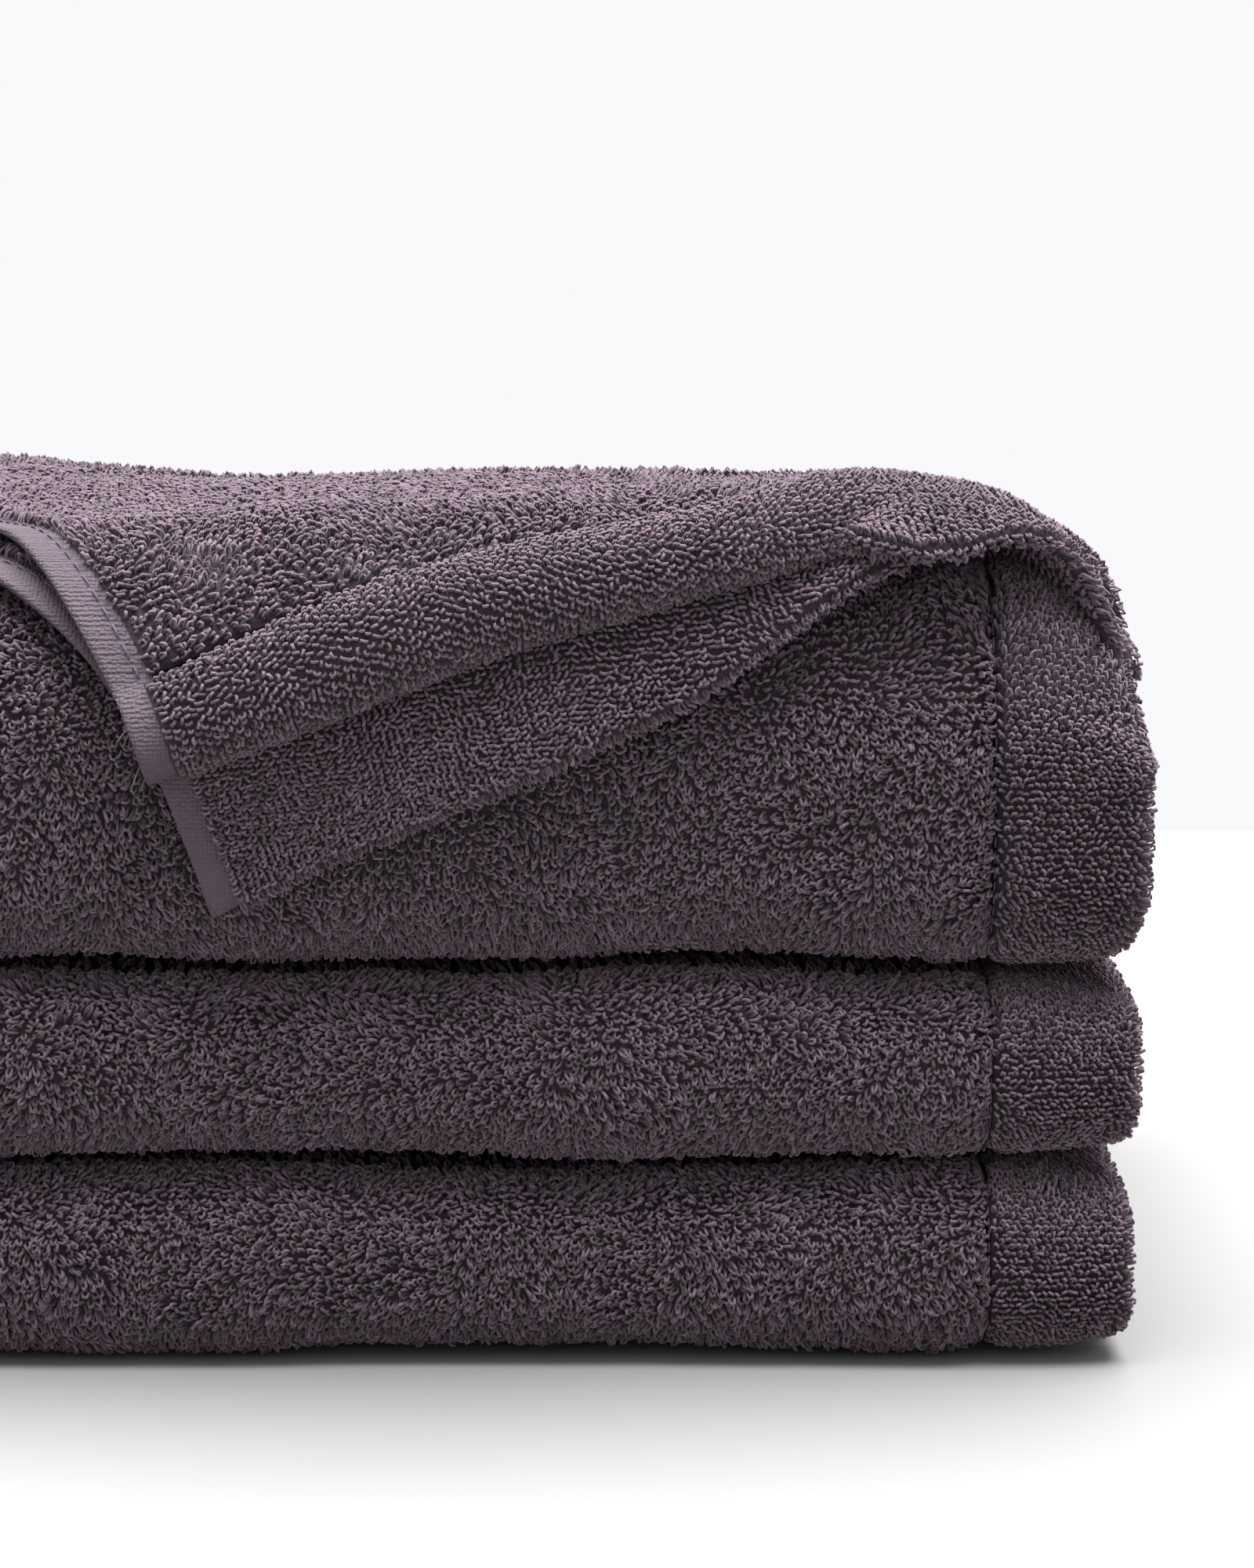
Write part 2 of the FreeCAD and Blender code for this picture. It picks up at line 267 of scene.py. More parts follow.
def thick_sheet(name, upper, lower, material, keep=None):
    """A closed sheet from two matching grids of points; keep is a mask of its cells."""
    rows, columns = upper.shape[:2]
    count = rows * columns
    cells = np.ones((rows - 1, columns - 1), bool) if keep is None else keep
    top = grid_faces(rows, columns)[cells.ravel()]
    bottom = top[:, ::-1] + count
    directed = np.concatenate([top[:, [i, (i + 1) % 4]] for i in range(4)])
    key = directed[:, 0].astype(np.int64) * count + directed[:, 1]
    back = directed[:, 1].astype(np.int64) * count + directed[:, 0]
    rim = directed[~np.isin(key, back)]
    sides = np.stack([rim[:, 1], rim[:, 0], rim[:, 0] + count, rim[:, 1] + count], 1)
    faces = np.concatenate([top, bottom, sides])
    points = np.concatenate([upper.reshape(-1, 3), lower.reshape(-1, 3)])
    used = np.unique(faces)
    index = np.full(2 * count, -1)
    index[used] = np.arange(len(used))
    return make_mesh(name, points[used], index[faces], material)


def ring_faces(rings, around):
    """Quads of a tube: rings of points, each joined to the next, closed round."""
    i = np.arange(rings - 1)[:, None] * around
    j = np.arange(around)[None, :]
    k = (j + 1) % around
    quads = np.stack([i + j, i + k, i + around + k, i + around + j], -1)
    return quads.reshape(-1, 4)


def tube_with_ends(name, points, material):
    """A closed tube from a grid of points (ring, around), with its two ends filled."""
    rings, around = points.shape[:2]
    sides = ring_faces(rings, around)
    half = around // 2
    strip = np.stack([np.arange(half - 1), np.arange(1, half),
                      around - 2 - np.arange(half - 1), around - 1 - np.arange(half - 1)], 1)
    faces = np.concatenate([sides, strip[:, ::-1], strip + (rings - 1) * around])
    return make_mesh(name, points, faces, material)


def unit(v):
    return v / np.maximum(np.linalg.norm(v, axis=-1, keepdims=True), 1e-12)


# --- loops and threads -----------------------------------------------------------------------------
ARCH_ACROSS = np.array([-0.28, -0.52, -0.30, 0.30, 0.52, 0.28])
ARCH_HEIGHT = np.array([-0.08, 0.50, 0.96, 1.0, 0.54, -0.08])
SIMPLE_ARCH = [0, 1, 3, 4, 5]       # the points kept where the loops are seen from further off
LOOPS_A_PIECE = 6600        # one mesh holds no more loops than this


def strands(path, binormal, radius):
    """Three-sided tubes along paths of points (strand, point, 3)."""
    count, steps = path.shape[:2]
    tangent = unit(np.gradient(path, axis=1))
    other = unit(np.cross(tangent, binormal[:, None, :]))
    wide = np.cross(other, tangent)
    rings = []
    for turn in (90, 210, 330):
        turn = math.radians(turn)
        rings.append(path + radius * (math.cos(turn) * wide + math.sin(turn) * other))
    points = np.stack(rings, 2)
    base = (np.arange(count) * steps * 3)[:, None, None]
    faces = base + ring_faces(steps, 3)[None]
    return points.reshape(-1, 3), faces.reshape(-1, 4)


def planted(surface, p, q):
    """Where loops stand on a surface: root, up, and the two ways along the surface."""
    e = 0.3 * MM
    root = surface(p, q, 0)
    up = unit(surface(p, q, 0.8 * MM) - surface(p, q, -0.2 * MM))
    p_way = surface(p + e, q, 0) - surface(p - e, q, 0)
    p_way = unit(p_way - np.sum(p_way * up, -1, keepdims=True) * up)
    return root, up, p_way, np.cross(up, p_way)


LATTICE_SIZE = 96
LATTICE = np.random.default_rng(11).uniform(-1, 1, (LATTICE_SIZE, LATTICE_SIZE))


def noise(p, q, size, shift):
    """Smooth random values over a plane, with hills of the given size."""
    u, v = p / size + 31.7 + shift, q / size + 17.3 + 2 * shift
    i, j = np.floor(u).astype(int), np.floor(v).astype(int)
    fu, fv = smooth(0, 1, u - i), smooth(0, 1, v - j)
    corner = [LATTICE[(i + di) % LATTICE_SIZE, (j + dj) % LATTICE_SIZE] for di in (0, 1) for dj in (0, 1)]
    low = corner[0] * (1 - fv) + corner[1] * fv
    high = corner[2] * (1 - fv) + corner[3] * fv
    return low * (1 - fu) + high * fu


def swirl(p, q, phase):
    """A slowly turning angle over the surface, as loops lie after washing."""
    return 2.4 * noise(p, q, 15 * MM, phase) + 1.5 * noise(p, q, 6.5 * MM, 3 * phase)


def loop_pile(name, surface, p, q, style, phase=0.0, lowest=0.0, fine=False):
    """Loops of yarn standing on a surface, at the places p, q, in as many pieces as needed."""
    share = max(math.ceil(len(p) / LOOPS_A_PIECE), 1)
    parts = np.array_split(np.arange(len(p)), share)
    return [one_pile(f"{name}_{i + 1}" if share > 1 else name, surface, p[part], q[part],
                     style, phase, lowest, fine)
            for i, part in enumerate(parts)]


def one_pile(name, surface, p, q, style, phase, lowest, fine):
    """One mesh of loops; fine loops have one more point in their arch."""
    height, width, radius, lean, wander, toward = style
    root, up, p_way, q_way = planted(surface, p, q)
    n = len(p)
    angle = toward + wander * (swirl(p, q, phase) + 0.5 * rng.standard_normal(n))
    c, s = np.cos(angle)[:, None], np.sin(angle)[:, None]
    forward = c * q_way + s * p_way
    across = -s * q_way + c * p_way
    turn = (0.25 + 0.5 * min(wander, 1)) * rng.standard_normal(n)
    c, s = np.cos(turn)[:, None], np.sin(turn)[:, None]
    across = c * across + s * forward
    mound = 0.12 * min(wander, 1) * swirl(q * 0.8, p * 0.8, phase + 1)
    tall = height * (1 + mound + 0.16 * rng.standard_normal(n).clip(-2, 2))[:, None, None]
    wide = width * (1 + 0.15 * rng.standard_normal(n).clip(-2, 2))[:, None, None]
    tip = lean * (1 + 0.25 * rng.standard_normal(n).clip(-2, 2))[:, None, None]
    points_kept = slice(None) if fine else SIMPLE_ARCH
    rise = ARCH_HEIGHT[points_kept][None, :, None]
    sideways = ARCH_ACROSS[points_kept][None, :, None]
    path = (root[:, None] + across[:, None] * sideways * wide
            + up[:, None] * rise * tall * np.sqrt(np.clip(1 - 0.35 * tip ** 2, 0.2, 1))
            + forward[:, None] * tip * tall * np.abs(rise) ** 1.4)
    binormal = unit(np.cross(across, up + forward * lean))
    points, faces = strands(path, binormal, radius)
    points[:, 2] = np.maximum(points[:, 2], lowest + 0.1 * MM)
    piece = make_mesh(name, points, faces, yarns)
    tone = np.repeat(rng.integers(0, len(yarns), n), len(faces) // n)
    piece.data.polygons.foreach_set("material_index", tone.astype(np.int32))
    return piece


def scatter(p_low, p_high, q_low, q_high, p_pitch, q_pitch, jitter):
    """Places in staggered rows over a rectangle, each moved a little at random."""
    p = np.arange(p_low, p_high, p_pitch)
    q = np.arange(q_low, q_high, q_pitch)
    P, Q = np.meshgrid(p, q)
    P = P + 0.5 * p_pitch * (np.arange(len(q)) % 2)[:, None]
    P = P + jitter * p_pitch * rng.uniform(-1, 1, P.shape)
    Q = Q + jitter * q_pitch * rng.uniform(-1, 1, Q.shape)
    inside = (P < p_high) & (Q < q_high) & (P > p_low) & (Q > q_low)
    return P[inside], Q[inside]


# Styles of loop. wander is how far the lean's direction strays, toward its mean, in radians.
#                height     width      radius     lean  wander  toward
BODY_LOOPS = (1.9 * MM, 1.2 * MM, 0.35 * MM, 0.6, 0.8, 0.0)
HEM_LOOPS = (1.6 * MM, 1.0 * MM, 0.33 * MM, 0.4, 0.4, 0.35)
KNOTS = (1.25 * MM, 1.15 * MM, 0.36 * MM, 0.35, 0.45, 0.35)
SHORT_LOOPS = (0.9 * MM, 1.3 * MM, 0.38 * MM, 0.5, 0.4, math.pi)
UNDER_LOOPS = (1.4 * MM, 1.5 * MM, 0.36 * MM, 0.9, 0.8, 0.0)
EDGE_LOOPS = (1.8 * MM, 1.05 * MM, 0.35 * MM, 0.5, 0.3, math.pi)
TUFTS = (2.4 * MM, 1.1 * MM, 0.36 * MM, 0.35, 0.5, 0.0)


def stitches(name, surface, p, q, p_end, q_end, radius=0.28 * MM):
    """Machine stitches lying on a surface, each from p, q to p_end, q_end."""
    t = np.array([0, 0.15, 0.5, 0.85, 1.0])
    lift = np.array([-0.5, 0.2, 0.35, 0.2, -0.5]) * MM
    P = p[:, None] + (p_end - p)[:, None] * t
    Q = q[:, None] + (q_end - q)[:, None] * t
    path = surface(P, Q, np.broadcast_to(lift, P.shape))
    up = unit(surface(P[:, 2], Q[:, 2], 0.5 * MM) - surface(P[:, 2], Q[:, 2], 0))
    points, faces = strands(path, up, radius)
    return make_mesh(name, points, faces, thread)


# --- materials ---------------------------------------------------------------------------------------
def cloth_material(name, colour, roughness=0.95):
    material = bpy.data.materials.new(name)
    material.use_nodes = True
    shader = material.node_tree.nodes["Principled BSDF"]
    shader.inputs["Base Color"].default_value = (*colour, 1)
    shader.inputs["Roughness"].default_value = roughness
    return material


def add_weave(material, scale, strength, depth):
    """A fine, even roughness of threads over the cloth."""
    nodes, links = material.node_tree.nodes, material.node_tree.links
    cells = nodes.new("ShaderNodeTexVoronoi")
    place = nodes.new("ShaderNodeTexCoord")
    bump_node = nodes.new("ShaderNodeBump")
    cells.inputs["Scale"].default_value = scale
    cells.inputs["Randomness"].default_value = 0.35
    bump_node.inputs["Strength"].default_value = strength
    bump_node.inputs["Distance"].default_value = depth
    bump_node.invert = True
    links.new(place.outputs["Object"], cells.inputs["Vector"])
    links.new(cells.outputs["Distance"], bump_node.inputs["Height"])
    links.new(bump_node.outputs["Normal"], nodes["Principled BSDF"].inputs["Normal"])


YARN = (0.0905, 0.0595, 0.0805)
YARN_TONES = (0.72, 0.95, 1.2, 1.5)
# painted shade: the terry's ground cloth is the yarn colour darkened, for the shade between its loops
GROUND_SHADE_TONE = 0.27          # the ground cloth is dark, as it lies in the loops' shade
# painted shade: the end hems' ground cloth is darkened the same way, for the shade between their loops
HEM_GROUND_SHADE_TONE = 0.26
GROUND_THREADS = 900        # cells to the metre
WOVEN_THREADS = 1150
# painted shade: the terry ground cloth takes the darkened tone set above
ground = cloth_material("terry_ground", [c * GROUND_SHADE_TONE for c in YARN])
woven = cloth_material("woven_side_hem", (0.080, 0.060, 0.075))
yarns = [cloth_material(f"yarn_{i}", [c * tone for c in YARN]) for i, tone in enumerate(YARN_TONES)]
# painted shade: the end hems' ground cloth is the yarn colour darkened
hem_cloth = cloth_material("end_hem_ground", [c * HEM_GROUND_SHADE_TONE for c in YARN])
for yarn in yarns:
    yarn_inputs = yarn.node_tree.nodes["Principled BSDF"].inputs
    yarn_inputs["Sheen Weight"].default_value = 0.2
    yarn_inputs["Sheen Roughness"].default_value = 0.4
add_weave(woven, WOVEN_THREADS, 1.0, 0.8 * MM)
add_weave(ground, GROUND_THREADS, 0.6, 0.3 * MM)
add_weave(hem_cloth, GROUND_THREADS, 0.6, 0.3 * MM)
thread = cloth_material("stitching_thread", (0.085, 0.06, 0.10), 0.7)
rng = np.random.default_rng(RNG_SEED)

# --- camera ------------------------------------------------------------------------------------------
EYE_HEIGHT = 0.257
EYE_DISTANCE = 0.900
AIM = (0.070, FRONT - 5 * MM, 0.1205)
SENSOR = 36
FRAME_PIXELS = 2000         # height of the picture
PIXELS_PER_MM = 6.5         # at the front of the stack
camera = bpy.data.objects.new("camera", bpy.data.cameras.new("camera"))
bpy.context.collection.objects.link(camera)
camera.location = (AIM[0], AIM[1] - EYE_DISTANCE, EYE_HEIGHT)
tilt = math.atan2(EYE_HEIGHT - AIM[2], EYE_DISTANCE)
camera.rotation_euler = (math.pi / 2 - tilt, 0, 0)
camera.data.sensor_fit = "AUTO"
camera.data.sensor_width = SENSOR
frame_height = FRAME_PIXELS / PIXELS_PER_MM * MM
camera.data.lens = SENSOR * math.hypot(EYE_DISTANCE, EYE_HEIGHT - AIM[2]) / frame_height
camera.data.clip_end = 20
bpy.context.scene.camera = camera

# --- towels ------------------------------------------------------------------------------------------
towels = [
    Towel("bottom_towel", 17 * MM, 16 * MM, 1.8 * MM, 0.4, 2.5 * MM),
    Towel("middle_towel", 17 * MM, 16 * MM, 1.8 * MM, 2.1, 1.5 * MM),
    Towel("top_towel", 35 * MM, 22 * MM, 2.6 * MM, 4.0, 0.0, sunk=True),
]
top = towels[2]
LOWER_SLOPE = math.radians(24.8)
UPPER_SLOPE = math.radians(17.6)
SIDE_HEM = 10 * MM
TURNED_SIDE_HEM = 8 * MM
SPLIT = 10 * MM          # the roll's pieces end this far from the crease


class TurnedLayer:
    """One layer of the turned corner, drawn flat: a along its end hem, q away from the hem."""

    def __init__(self, slope, tip, crease_x, level, rise, ply_depth, curl, sag, drift):
        self.way = np.array([-math.cos(slope), math.sin(slope)])
        hem_length = (crease_x - tip[0]) / math.cos(slope)
        self.start = np.array(tip) - self.way * hem_length
        self.extra_rise = rise
        self.sag = sag
        self.drift = drift
        self.side = np.array([-self.way[1], self.way[0]])
        self.length = hem_length
        self.level = level
        self.ply_depth = ply_depth
        self.curl = curl
        self.crease = self.way + np.array([0, -1.0])
        self.crease /= np.linalg.norm(self.crease)
        self.across = np.array([self.crease[1], -self.crease[0]])
        self.way_c = self.way @ self.across
        self.side_c = self.side @ self.across

    def a_at(self, c, q):
        """a at a distance c in front of the crease."""
        return (c - q * self.side_c) / self.way_c

    def q_at(self, c, a):
        """q at a distance c in front of the crease."""
        return (c - a * self.way_c) / self.side_c

    def top_level(self, along):
        """The layer's height above the top towel, at a place along the crease."""
        return self.level + self.rise(along)

    def rise(self, along):
        return self.extra_rise * np.exp(-(np.maximum(along, 0) / (70 * MM)) ** 2)

    def radius(self, along):
        """Radius of the roll at the crease."""
        return (self.top_level(along) + self.ply_depth) / 2

    def place(self, a, q):
        """A point of the layer's middle surface, folded over at the crease and hung over the front."""
        a, q = np.broadcast_arrays(np.asarray(a, float), np.asarray(q, float))
        flat_q, extra = q, np.zeros_like(q)
        if self.curl is not None:
            into = np.clip(HEM_WIDTH - q, 0, HEM_WIDTH)
            curled = HEM_WIDTH - np.interp(into, self.curl[0], self.curl[1])
            height = np.interp(into, self.curl[0], self.curl[2])
            fade = smooth(10 * MM, 60 * MM, a)
            flat_q = np.where(q < HEM_WIDTH, q + (curled - q) * fade, q)
            extra = height * fade * (q < HEM_WIDTH)
        x = self.start[0] + a * self.way[0] + flat_q * self.side[0]
        s = self.start[1] + a * self.way[1] + flat_q * self.side[1]
        away = (x - self.start[0]) * self.across[0] + (s - self.start[1]) * self.across[1]
        along = (x - self.start[0]) * self.crease[0] + (s - self.start[1]) * self.crease[1]
        radius = self.radius(along)
        behind = np.maximum(-away, 0)
        turn = np.minimum(behind / radius, math.pi)
        under = np.maximum(behind - math.pi * radius, 0)
        reach = np.where(away >= 0, away, under - radius * np.sin(turn))
        level = self.top_level(along) - radius * (1 - np.cos(turn))
        uneven = 0.7 * MM * np.sin(a * 60 + q * 25) + 0.5 * MM * np.sin(a * 31 - q * 70)
        level = level + uneven * (away > 0)
        x = x + (reach - away) * self.across[0]
        s = s + (reach - away) * self.across[1]
        s = s + self.sag * bump(x, 0.10, 0.055) * smooth(0, 30 * MM, reach)
        x = x + np.interp(flat_q, *self.drift) * smooth(110 * MM, 10 * MM, self.length - a)
        beyond = np.maximum(LEFT + 24 * MM - x, 0)
        x = x + beyond - 10 * MM * (1 - np.exp(-beyond / (10 * MM)))
        y, z, ny, nz = top.wrap.at(np.maximum(s, 0))
        y = y - np.minimum(s, 0)
        out = level + extra
        y = y - ny * out
        z = z - nz * out
        return np.stack([x, y, raised(x, y, z)], -1)

    def faces(self, a, q, thickness):
        """The upper and lower surface of a grid of (a, q)."""
        e = 0.4 * MM
        here = self.place(a, q)
        da = self.place(a + e, q) - self.place(a - e, q)
        dq = self.place(a, q + e) - self.place(a, q - e)
        normal = np.cross(dq, da)
        normal /= np.maximum(np.linalg.norm(normal, axis=-1, keepdims=True), 1e-12)
        return here + normal * thickness / 2, here - normal * thickness / 2, normal

    def outside(self, thickness):
        """The layer's outer face as a surface to plant loops on."""
        def surface(a, q, height):
            return self.faces(a, q, thickness)[0] + self.faces(a, q, 0)[2] * np.asarray(height)[..., None]
        return surface

    def inside(self, thickness):
        """The layer's inner face as a surface to plant loops on."""
        def surface(a, q, height):
            return self.faces(a, q, thickness)[1] - self.faces(a, q, 0)[2] * np.asarray(height)[..., None]
        return surface


def curl_path():
    """The upper end hem rolls under: flat distance, forward reach and height from its stitching."""
    along = np.linspace(0, HEM_WIDTH, 200)
    turning = np.interp(along, [0, 4 * MM, 9 * MM, 15 * MM, 21 * MM, 26 * MM, HEM_WIDTH],
                        [math.radians(d) for d in (48, 38, 5, -60, -150, -195, -225)])
    step = along[1]
    reach = np.r_[0, np.cumsum(np.cos(turning[:-1]) * step)]
    height = np.r_[0, np.cumsum(np.sin(turning[:-1]) * step)]
    return along, reach, height


def eased(places, shifts, reach=0.012):
    """A table between the given places, with its corners rounded."""
    fine = np.arange(-0.1, 0.4, 1 * MM)
    table = np.interp(fine, places, shifts)
    kernel = np.hanning(int(2 * reach / MM) + 3)[1:-1]
    return fine, np.convolve(np.pad(table, len(kernel) // 2, "edge"), kernel / kernel.sum(), "valid")


# how far the side hem's line swings to the left of the straight one, by the distance from the end hem
LOWER_DRIFT = eased([0, 0.032, 0.050, 0.105, 0.135, 0.230], [0, 0.0025, -0.001, -0.029, -0.031, 0])
UPPER_DRIFT = eased([0, 0.025, 0.085, 0.120, 0.220], [0, 0, -0.021, -0.022, 0])

layers = {
    "lower": TurnedLayer(LOWER_SLOPE, (-12 * MM, 279 * MM), 164 * MM, 4.5 * MM, 2 * MM, top.depths[0],
                         None, 4 * MM, LOWER_DRIFT),
    "upper": TurnedLayer(UPPER_SLOPE, (-18 * MM, 270 * MM), 150 * MM, 11.0 * MM, 2 * MM, top.depths[1],
                         curl_path(), 9 * MM, UPPER_DRIFT),
}


def away_from_crease(name, x, s):
    """How far a place on the top towel is in front of a layer's crease."""
    layer = layers[name]
    return (x - layer.start[0]) * layer.across[0] + (s - layer.start[1]) * layer.across[1]


def crease_x(layer, s):
    """Where the crease crosses the line at s."""
    return np.where(s < 0.24, layer.start[0] + (s - layer.start[1]) * layer.crease[0] / layer.crease[1], 1.0)


def shown(towel, x, s, ply):
    """False where a ply of the top towel has been turned over."""
    if towel is not top or ply > 1:
        return np.ones(np.broadcast(x, s).shape, bool)
    return away_from_crease("upper" if ply else "lower", x, s) > -1 * MM


def hidden_under_corner(x, s):
    """Where the turned corner lies on the top towel."""
    lower = layers["lower"]
    dx, ds = x - lower.start[0], s - lower.start[1]
    a = dx * lower.way[0] + ds * lower.way[1]
    q = dx * lower.side[0] + ds * lower.side[1]
    return (q > 12 * MM) & (a < lower.length - 14 * MM)


def lay_out(low, high, count):
    """Rows of even steps, each row from its own low to its own high."""
    t = np.linspace(0, 1, count)
    return low[:, None] + (high - low)[:, None] * t[None, :]


# --- pieces of each folded towel -------------------------------------------------------------------
def ply_of(towel, u):
    """0 and 1 are the plies that end in the end hems, 2 the two that end in the fold."""
    return np.where(u < towel.run, 0, np.where(u > towel.layers.length - towel.run, 1, 2))


def ply_sheet(towel, name, s_low, s_high, s_count, thickness, material):
    u = np.linspace(0, towel.layers.length, 280)
    s = np.linspace(s_low, s_high, s_count)
    U, S = np.meshgrid(u, s, indexing="ij")
    x, d, nx, nd = towel.layers.at(U)
    ply = ply_of(towel, U)
    there = np.where(ply == 0, shown(towel, x, S, 0), np.where(ply == 1, shown(towel, x, S, 1), True))
    keep = there[1:, 1:] | there[:-1, 1:] | there[1:, :-1] | there[:-1, :-1]
    if towel is top:
        for number, layer in enumerate(layers.values()):
            x = np.where(ply == number, np.minimum(x, crease_x(layer, S)), x)
    half = thickness / 2
    upper = towel.place(x + nx * half, d + nd * half, S)
    lower = towel.place(x - nx * half, d - nd * half, S)
    return thick_sheet(name, upper, lower, material, keep)


def hem_surface(towel, profile):
    """The outside of an end hem, by v round its profile and s round the fold."""
    def surface(v, s, height):
        x, d, nx, nd = profile.at(v)
        return towel.place(x - nx * height, d - nd * height, s)
    return surface


for towel in towels:
    own = towel.name
    end = towel.wrap.length
    pieces = []
    terry = ply_sheet(towel, own + "_cloth", SIDE_HEM, end - SIDE_HEM, 130, towel.cloth, ground)
    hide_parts(own + "_body")
    outer = ply_sheet(towel, own + "_outer_side_hem_cloth", 0, SIDE_HEM - 0.3 * MM, 8, 1.4 * MM, woven)
    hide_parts(own + "_outer_side_hems")
    inner = ply_sheet(towel, own + "_inner_side_hem_cloth", end - SIDE_HEM + 0.3 * MM, end, 8, 1.4 * MM,
                      woven)
    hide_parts(own + "_inner_side_hems")
    pieces += [outer, inner]
    threads = []
    for ply, label in enumerate(("outer", "inner")):
        profile = towel.hem_profile(ply)
        start = 0.0
        if towel is top:
            s_all = np.linspace(0, 0.3, 3001)
            start = s_all[np.argmax(shown(towel, RIGHT - 12 * MM, s_all, ply))]
        v = np.linspace(0, profile.length, 44)
        s = np.linspace(start, end, 190)
        S, V = np.meshgrid(s, v, indexing="ij")
        surface = hem_surface(towel, profile)
        band = tube_with_ends(f"{own}_{label}_end_hem_cloth", surface(V, S, np.zeros_like(V)), hem_cloth)
        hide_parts(f"{own}_{label}_end_hem")
        pieces.append(band)
        nose = profile.length / 2
        v_low = 0.6 * MM if ply == 0 or towel is top else nose - 5 * MM
        v_high = nose + (12 * MM if towel is top else 3 * MM)
        p, q = scatter(v_low, v_high, start + 1 * MM, end - 1 * MM, 1.4 * MM, 1.45 * MM, 0.22)
        at_end = (p > nose - 5 * MM) & (p < nose + 3 * MM)
        at_front = (q < towel.front_end) & (ply == 0) & (p < nose + 3 * MM)
        at_back = (q > towel.back_start) & (q < towel.back_end) & (ply == 0) & (p < nose + 3 * MM)
        near_corner = (q < start + 90 * MM) & (towel is top)
        thin = (rng.uniform(0, 1, len(p)) < 0.3) & (q < towel.back_end) & (p < nose + 3 * MM)
        seen = at_front | at_back | at_end | near_corner | thin
        p, q = p[seen], q[seen]
        pieces += loop_pile(f"{own}_{label}_end_hem_loops", surface, p, q, HEM_LOOPS, towel.phase, towel.low,
                            fine=ply == 0)
        s = np.arange(start + 1 * MM, end - 4 * MM, 3.4 * MM)
        x, d, nx, nd = towel.layers.at(0.4 * MM if ply == 0 else towel.layers.length - 0.4 * MM)

        def seam_surface(x, s, height, towel=towel, depth=float(d) - towel.cloth / 2):
            return towel.place(x, depth - height, s)
        threads.append(stitches(f"{own}_{label}_end_hem_stitches", seam_surface,
                                np.full_like(s, SEAM_X + 0.2 * MM), s,
                                np.full_like(s, SEAM_X + 0.2 * MM), s + 2.6 * MM))
    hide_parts(own + "_end_hem_stitching")
    u = np.arange(2 * MM, towel.layers.length - 5 * MM, 3.4 * MM)
    x, d, nx, nd = towel.layers.at(u)
    ply = ply_of(towel, u)
    there = np.where(ply == 0, shown(towel, x, 0.0, 0), np.where(ply == 1, shown(towel, x, 0.0, 1), True))
    u = u[there]

    def side_surface(u, s, height, towel=towel):
        x, d, nx, nd = towel.layers.at(u)
        off = 0.8 * MM + height
        return towel.place(x + nx * off, d + nd * off, s)
    for label, s_line in (("outer", SIDE_HEM - 2.2 * MM), ("inner", end - SIDE_HEM + 2.2 * MM)):
        threads.append(stitches(f"{own}_{label}_side_hem_stitches", side_surface, u, np.full_like(u, s_line),
                                u + 2.6 * MM, np.full_like(u, s_line)))
    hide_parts(own + "_side_hem_stitching")
    pieces += threads

    # loops: the outer ply round the fold, the left fold, the fold at the right end
    face_low = towel.top_run - 4 * MM
    face_high = towel.front_end - 6 * MM
    under_high = towel.back_start - 10 * MM
    pitch = {"top": 1.0 if towel is top else 2.4, "front": 1.0, "under": 3.2, "back": 1.4}
    zones = {"top": (SIDE_HEM, face_low), "front": (face_low, face_high),
             "under": (face_high, under_high), "back": (under_high, towel.back_end + 6 * MM)}
    for zone, (s_low, s_high) in zones.items():
        dense = pitch[zone]
        p, q = scatter(0.8 * MM, towel.run, s_low, s_high, 1.4 * MM * dense, 1.55 * MM * dense, 0.34)
        x = towel.layers.at(p)[0]
        share = 0.68 + 0.32 * smooth(-110 * MM, -62 * MM, x)
        keep = shown(towel, x, q, 0) & (rng.uniform(0, 1, len(p)) < share)
        if towel is top:
            covered = (away_from_crease("lower", x, q) > 6 * MM) & hidden_under_corner(x, q)
            keep &= ~(covered & (rng.uniform(0, 1, len(p)) < 0.6))
        pieces += (loop_pile(f"{own}_loops_{zone}", towel.on_ply, p[keep], q[keep], BODY_LOOPS, towel.phase,
                             towel.low, fine=zone == "front"))
    p, q = scatter(towel.run, towel.run + towel.big_turn, SIDE_HEM, end - SIDE_HEM, 2.0 * MM, 2.2 * MM, 0.34)
    pieces += (loop_pile(f"{own}_loops_left_fold", towel.on_ply, p, q, BODY_LOOPS, towel.phase,
                            towel.low))
    turn_middle = towel.run + towel.big_turn + (RIGHT - 5 * MM - towel.layers.at(towel.run)[0])
    p, q = scatter(turn_middle - 4 * MM, turn_middle + 5 * MM, SIDE_HEM, end - SIDE_HEM,
                   1.9 * MM, 2.1 * MM, 0.3)
    pieces += (loop_pile(f"{own}_loops_right_fold", towel.on_ply, p, q, BODY_LOOPS, towel.phase,
                            towel.low))
    p, q = scatter(-0.2 * MM, 1.6 * MM, 2 * MM, face_high + 20 * MM, 1.0 * MM, 1.2 * MM, 0.4)
    keep = shown(towel, towel.layers.at(p)[0], q, 0)
    pieces += (loop_pile(f"{own}_seam_tufts", towel.on_ply, p[keep], q[keep], TUFTS, towel.phase, towel.low))
    if towel is top:
        p, q = scatter(turn_middle + 5 * MM, turn_middle + 0.31, SIDE_HEM, 0.235, 2.5 * MM, 2.8 * MM, 0.34)
        x = towel.layers.at(p)[0]
        keep = away_from_crease("lower", x, q) < 4 * MM
        pieces += (loop_pile("top_towel_loops_recess", towel.on_ply, p[keep], q[keep], BODY_LOOPS, 1.0))
    for piece in [terry, *pieces]:
        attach(piece, own)

# --- pieces of the turned corner -----------------------------------------------------------------------
THICKNESS = {"terry": 1.8 * MM, "end_hem": 3.2 * MM, "side_hem": 1.3 * MM}


